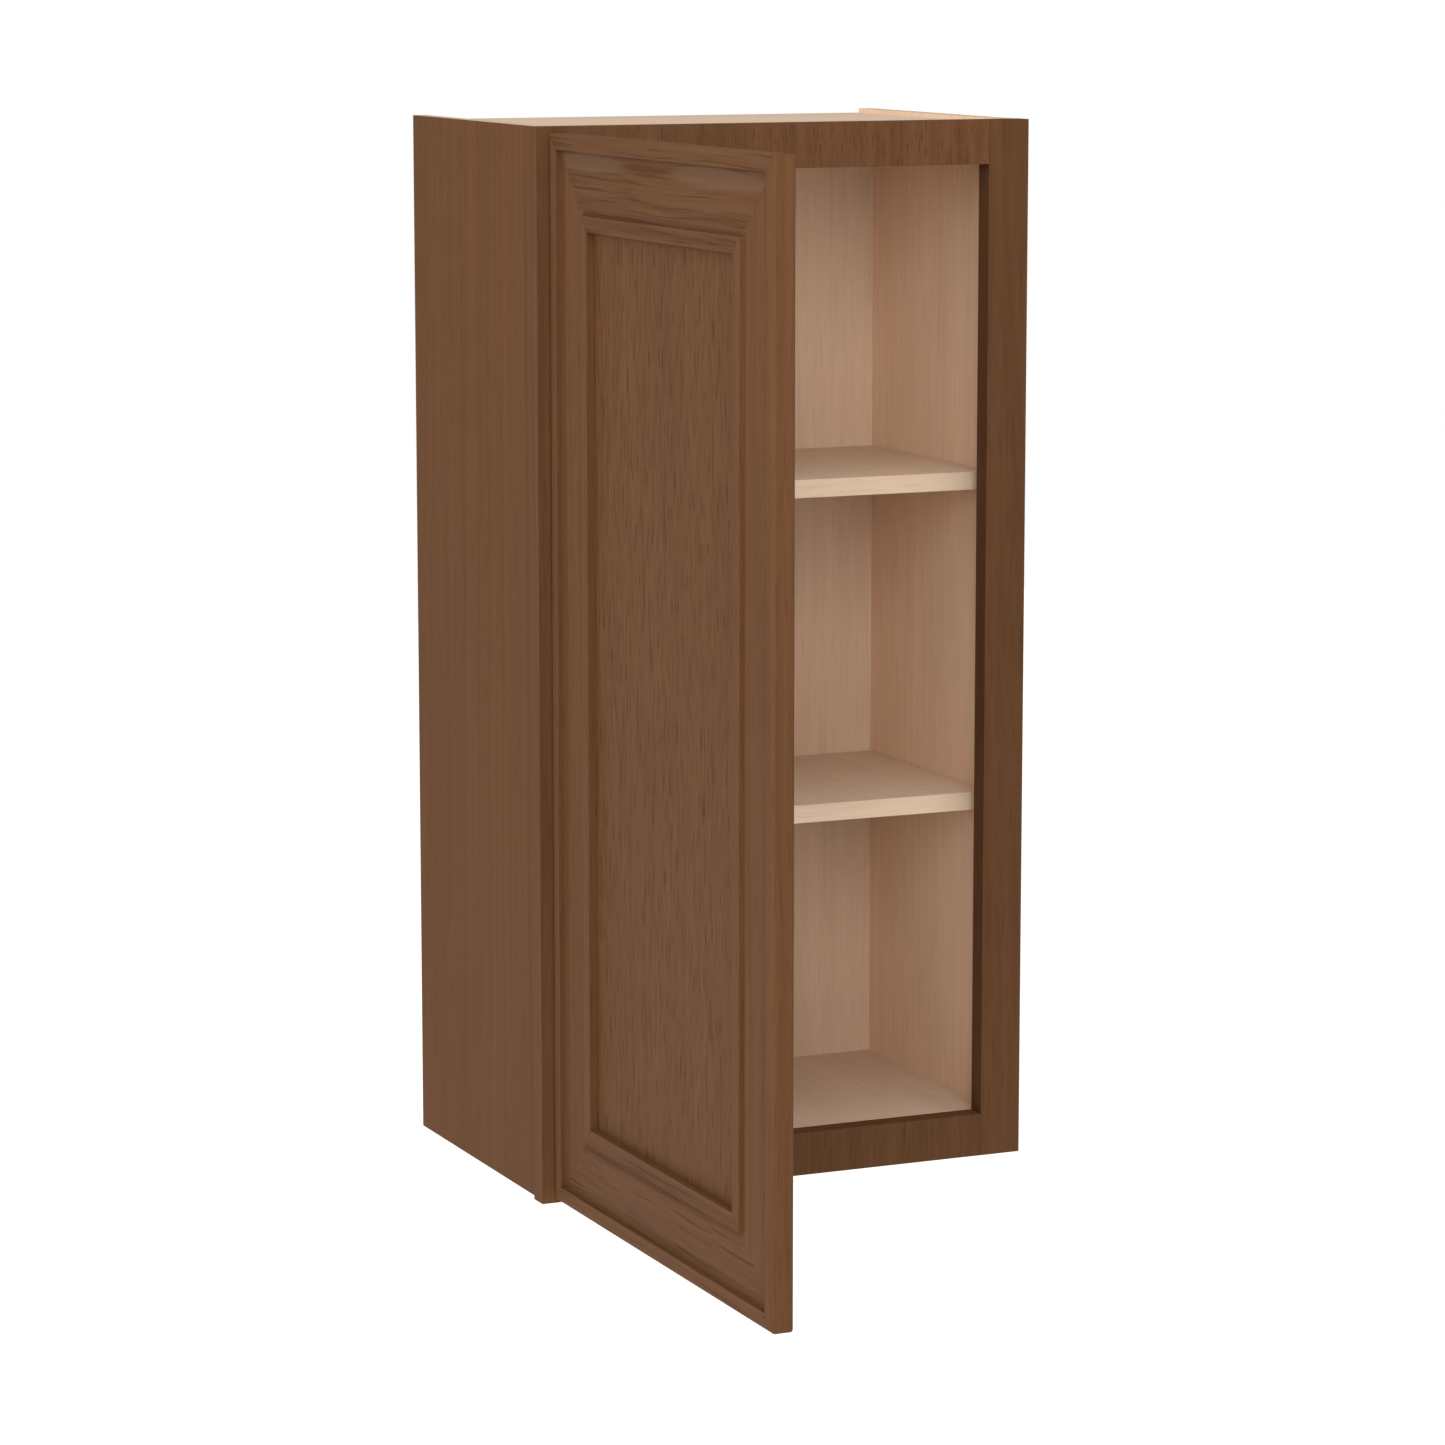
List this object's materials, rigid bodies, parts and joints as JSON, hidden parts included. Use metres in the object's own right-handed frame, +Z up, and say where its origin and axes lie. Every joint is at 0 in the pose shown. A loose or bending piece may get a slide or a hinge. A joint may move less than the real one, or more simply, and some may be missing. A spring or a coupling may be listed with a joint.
{
  "type": "hanging wall cabinet",
  "caption": "Tall narrow wall cabinet with face frame, left-hung mitred recessed-panel door on concealed hinges and loose shelves inside.",
  "frame": {"origin": "on the wall plane (rear face of the case), in the middle of the width and height, at the centre of the two hanging holes", "axes": "+Y points into the wall, -Y is the front with the door, +X is to the right seen from the front, +Z is up"},
  "size_m": [0.4572, 0.7575, 0.9144],
  "materials": {
    "stained_frame_wood": "satin brown stain, fine vertical grain",
    "stained_side_veneer": "satin brown stained veneer, fine vertical grain",
    "stained_door_wood": "satin brown stain, grain along each bar",
    "natural_maple": "clear satin natural maple look laminate",
    "rail_wood": "unfinished softwood",
    "joinery_beech": "unfinished beech",
    "hinge_nickel": "nickel plated pressed steel",
    "screw_steel": "zinc plated",
    "shelf_pin_steel": "zinc plated",
    "spacer_rubber": "soft black rubber",
    "bumper_clear": "clear soft plastic"
  },
  "bodies": {
    "cabinet": {"frame_stile_left": "stained_frame_wood", "frame_stile_right": "stained_frame_wood", "frame_rail_top": "stained_frame_wood", "frame_rail_bottom": "stained_frame_wood", "frame_dowels": "joinery_beech", "side_panel_left": "natural_maple", "side_panel_right": "natural_maple", "side_skin_left": "stained_side_veneer", "side_skin_right": "stained_side_veneer", "top_panel": "natural_maple", "bottom_panel": "natural_maple", "back_panel": "natural_maple", "hang_rail_lower": "rail_wood", "hang_rail_upper": "rail_wood", "lower_shelf_pins": "shelf_pin_steel", "upper_shelf_pins": "shelf_pin_steel", "hinge_arm_lower": "hinge_nickel", "hinge_arm_upper": "hinge_nickel", "hinge_arm_screws": "screw_steel", "hinge_arm_pins": "hinge_nickel"},
    "hinge_links": {"hinge_inner_link_lower": "hinge_nickel", "hinge_inner_link_upper": "hinge_nickel"},
    "hinge_outer_links": {"hinge_outer_link_lower": "hinge_nickel", "hinge_outer_link_upper": "hinge_nickel"},
    "door": {"door_stile_hinged": "stained_door_wood", "door_stile_free": "stained_door_wood", "door_rail_top": "stained_door_wood", "door_rail_bottom": "stained_door_wood", "door_mitre_splines": "joinery_beech", "door_panel": "stained_door_wood", "door_panel_spacers": "spacer_rubber", "door_bumpers": "bumper_clear", "hinge_cup_lower": "hinge_nickel", "hinge_cup_upper": "hinge_nickel", "hinge_cup_screws": "screw_steel", "hinge_cup_pins": "hinge_nickel"},
    "upper_shelf": {"upper_shelf": "natural_maple", "upper_shelf_edge_band": "natural_maple"},
    "lower_shelf": {"lower_shelf": "natural_maple", "lower_shelf_edge_band": "natural_maple"}
  },
  "joints": [
    {"name": "hinge_link_turn", "type": "hinge", "parent": "cabinet", "child": "hinge_links", "pos_m": [-0.188, -0.30897, 0], "axis": [0, 0, 1], "range_deg": [-36.6, 4.3]},
    {"name": "hinge_outer_link_turn", "type": "hinge", "parent": "cabinet", "child": "hinge_outer_links", "pos_m": [-0.1866, -0.303, 0], "axis": [0, 0, 1], "range_deg": [-20.8, 2.5]},
    {"name": "door_swing", "type": "hinge", "parent": "hinge_links", "child": "door", "pos_m": [-0.2042, -0.3238, 0], "axis": [0, 0, 1], "range_deg": [-14.04, 126.38]},
    {"name": "upper_shelf_lift", "type": "slide", "parent": "cabinet", "child": "upper_shelf", "axis": [0, 0, 1], "range_m": [0, 0.28]},
    {"name": "lower_shelf_lift", "type": "slide", "parent": "cabinet", "child": "lower_shelf", "axis": [0, 0, 1], "range_m": [0, 0.26]}
  ],
  "couplings": [
    {"joint": "hinge_link_turn", "follows": "door_swing", "ratio": -0.28789},
    {"joint": "hinge_outer_link_turn", "follows": "door_swing", "ratio": -0.16308}
  ]
}
